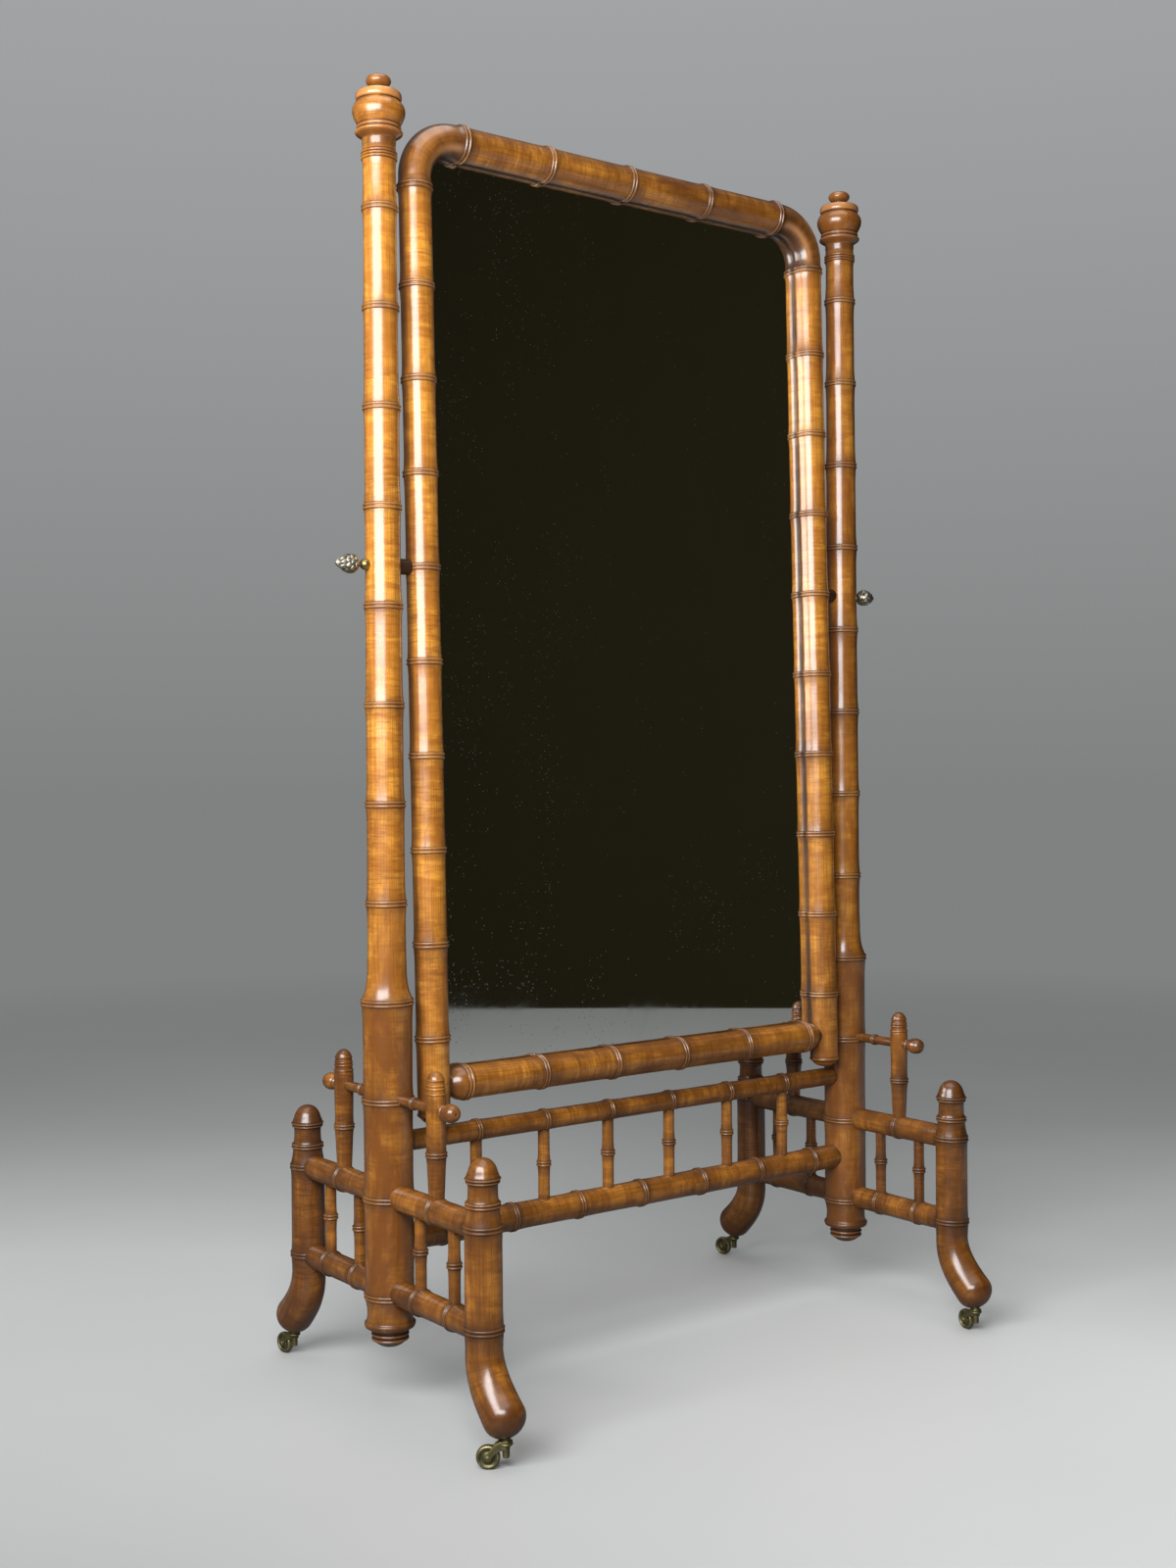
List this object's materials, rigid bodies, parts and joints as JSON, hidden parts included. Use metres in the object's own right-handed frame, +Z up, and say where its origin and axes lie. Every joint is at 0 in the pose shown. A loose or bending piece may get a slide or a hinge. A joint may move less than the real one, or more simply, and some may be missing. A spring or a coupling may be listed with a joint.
{
  "type": "cheval mirror",
  "caption": "Tall tilting dressing mirror in a turned, ringed wooden frame between posts on castered end frames.",
  "frame": {"origin": "on the floor, midway between the posts and midway between the front and back feet", "axes": "+X along the width towards the right post, +Y to the back, +Z up; the glass faces -Y"},
  "size_m": [1.0494, 0.63, 1.844],
  "materials": {
    "honey_wood": "golden curly fruitwood under gloss varnish",
    "brown_wood": "browner turned wood under worn gloss varnish",
    "dark_wood": "dark stained wood, gloss varnish",
    "dowel_wood": "plain unvarnished wood",
    "back_wood": "thin unvarnished panel, dusty",
    "aged_brass": "aged brass, greenish brown in the hollows, worn on the edges",
    "mirror_plate": "silvered plate glass with a little foxing and dust"
  },
  "bodies": {
    "stand": {"post_left": "honey_wood", "post_right": "honey_wood", "finial_left": "honey_wood", "finial_right": "honey_wood", "drop_left": "brown_wood", "drop_right": "brown_wood", "leg_front_left": "brown_wood", "leg_back_left": "brown_wood", "leg_front_right": "brown_wood", "leg_back_right": "brown_wood", "rail_upper_front_left": "brown_wood", "rail_upper_back_left": "brown_wood", "rail_upper_front_right": "brown_wood", "rail_upper_back_right": "brown_wood", "rail_lower_front_left": "brown_wood", "rail_lower_back_left": "brown_wood", "rail_lower_front_right": "brown_wood", "rail_lower_back_right": "brown_wood", "end_spindles_left": "brown_wood", "end_spindles_right": "brown_wood", "cross_post_front_left": "brown_wood", "cross_post_back_left": "brown_wood", "cross_post_front_right": "brown_wood", "cross_post_back_right": "brown_wood", "cross_pegs": "brown_wood", "cross_balls": "brown_wood", "stretcher_upper": "brown_wood", "stretcher_lower": "brown_wood", "stretcher_spindles": "brown_wood", "caster_socket_front_left": "aged_brass", "caster_socket_back_left": "aged_brass", "caster_socket_front_right": "aged_brass", "caster_socket_back_right": "aged_brass"},
    "mirror": {"frame_stile_left": "honey_wood", "frame_stile_right": "honey_wood", "frame_elbow_left": "dark_wood", "frame_elbow_right": "dark_wood", "frame_top_rail": "honey_wood", "frame_bottom_rail": "honey_wood", "frame_dowels": "dowel_wood", "mirror_glass": "mirror_plate", "backboard": "back_wood", "backboard_screws": "aged_brass", "pivot_block_left": "dark_wood", "pivot_block_right": "dark_wood", "pivot_bushes": "aged_brass"},
    "thumb_screw_left": {"thumb_screw_left": "aged_brass"},
    "thumb_screw_right": {"thumb_screw_right": "aged_brass"},
    "caster_front_left": {"caster_horn_front_left": "aged_brass", "caster_axle_front_left": "aged_brass"},
    "wheel_front_left": {"caster_wheel_front_left": "aged_brass"},
    "caster_back_left": {"caster_horn_back_left": "aged_brass", "caster_axle_back_left": "aged_brass"},
    "wheel_back_left": {"caster_wheel_back_left": "aged_brass"},
    "caster_front_right": {"caster_horn_front_right": "aged_brass", "caster_axle_front_right": "aged_brass"},
    "wheel_front_right": {"caster_wheel_front_right": "aged_brass"},
    "caster_back_right": {"caster_horn_back_right": "aged_brass", "caster_axle_back_right": "aged_brass"},
    "wheel_back_right": {"caster_wheel_back_right": "aged_brass"}
  },
  "joints": [
    {"name": "mirror_tilt", "type": "hinge", "parent": "stand", "child": "mirror", "pos_m": [0, 0, 1.169], "axis": [1, 0, 0], "continuous": true},
    {"name": "thumb_screw_left_turn", "type": "hinge", "parent": "mirror", "child": "thumb_screw_left", "pos_m": [-0.47, 0, 1.169], "axis": [-1, 0, 0], "range_deg": [0, 360]},
    {"name": "thumb_screw_right_turn", "type": "hinge", "parent": "mirror", "child": "thumb_screw_right", "pos_m": [0.47, 0, 1.169], "axis": [1, 0, 0], "range_deg": [0, 360]},
    {"name": "caster_front_left_swivel", "type": "hinge", "parent": "stand", "child": "caster_front_left", "pos_m": [-0.444, -0.283, 0.034], "axis": [0, 0, 1], "continuous": true},
    {"name": "wheel_front_left_spin", "type": "hinge", "parent": "caster_front_left", "child": "wheel_front_left", "pos_m": [-0.46162, -0.26822, 0.0155], "axis": [-0.6428, -0.766, 0], "continuous": true},
    {"name": "caster_back_left_swivel", "type": "hinge", "parent": "stand", "child": "caster_back_left", "pos_m": [-0.444, 0.283, 0.034], "axis": [0, 0, 1], "continuous": true},
    {"name": "wheel_back_left_spin", "type": "hinge", "parent": "caster_back_left", "child": "wheel_back_left", "pos_m": [-0.44799, 0.30565, 0.0155], "axis": [-0.9848, -0.1736, 0], "continuous": true},
    {"name": "caster_front_right_swivel", "type": "hinge", "parent": "stand", "child": "caster_front_right", "pos_m": [0.444, -0.283, 0.034], "axis": [0, 0, 1], "continuous": true},
    {"name": "wheel_front_right_spin", "type": "hinge", "parent": "caster_front_right", "child": "wheel_front_right", "pos_m": [0.44799, -0.26035, 0.0155], "axis": [-0.9848, 0.1736, 0], "continuous": true},
    {"name": "caster_back_right_swivel", "type": "hinge", "parent": "stand", "child": "caster_back_right", "pos_m": [0.444, 0.283, 0.034], "axis": [0, 0, 1], "continuous": true},
    {"name": "wheel_back_right_spin", "type": "hinge", "parent": "caster_back_right", "child": "wheel_back_right", "pos_m": [0.43766, 0.30511, 0.0155], "axis": [-0.9613, -0.2756, 0], "continuous": true}
  ]
}
